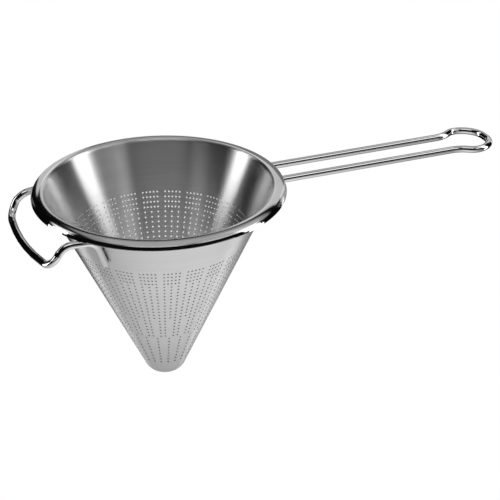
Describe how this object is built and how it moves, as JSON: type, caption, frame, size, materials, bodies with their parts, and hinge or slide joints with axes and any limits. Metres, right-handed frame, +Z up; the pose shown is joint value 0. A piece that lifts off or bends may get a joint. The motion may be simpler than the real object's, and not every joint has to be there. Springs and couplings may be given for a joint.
{
  "type": "chinois strainer",
  "caption": "Conical chinois strainer in stainless steel: finely perforated sheet cone, rolled pouring rim, long rod handle with a hanging eye, and a bent hook that rests on a pot edge.",
  "frame": {"origin": "centre of the mouth, level with the top of the rolled rim", "axes": "+Z up along the cone's axis, out of the mouth; +X along the long handle, away from the cone; the hook is on the -X side"},
  "size_m": [0.4084, 0.197, 0.164],
  "materials": {
    "cone_steel": "satin, brushed round the cone",
    "rim_steel": "mirror polished stainless steel",
    "rod_steel": "polished stainless rod",
    "weld_steel": "dull fused metal"
  },
  "bodies": {
    "root": {"sieve_cone": "cone_steel", "rim_ring": "rim_steel", "long_handle": "rod_steel", "rest_hook": "rod_steel", "handle_weld_left": "weld_steel", "handle_weld_right": "weld_steel", "hook_weld_left": "weld_steel", "hook_weld_right": "weld_steel"}
  },
  "joints": []
}
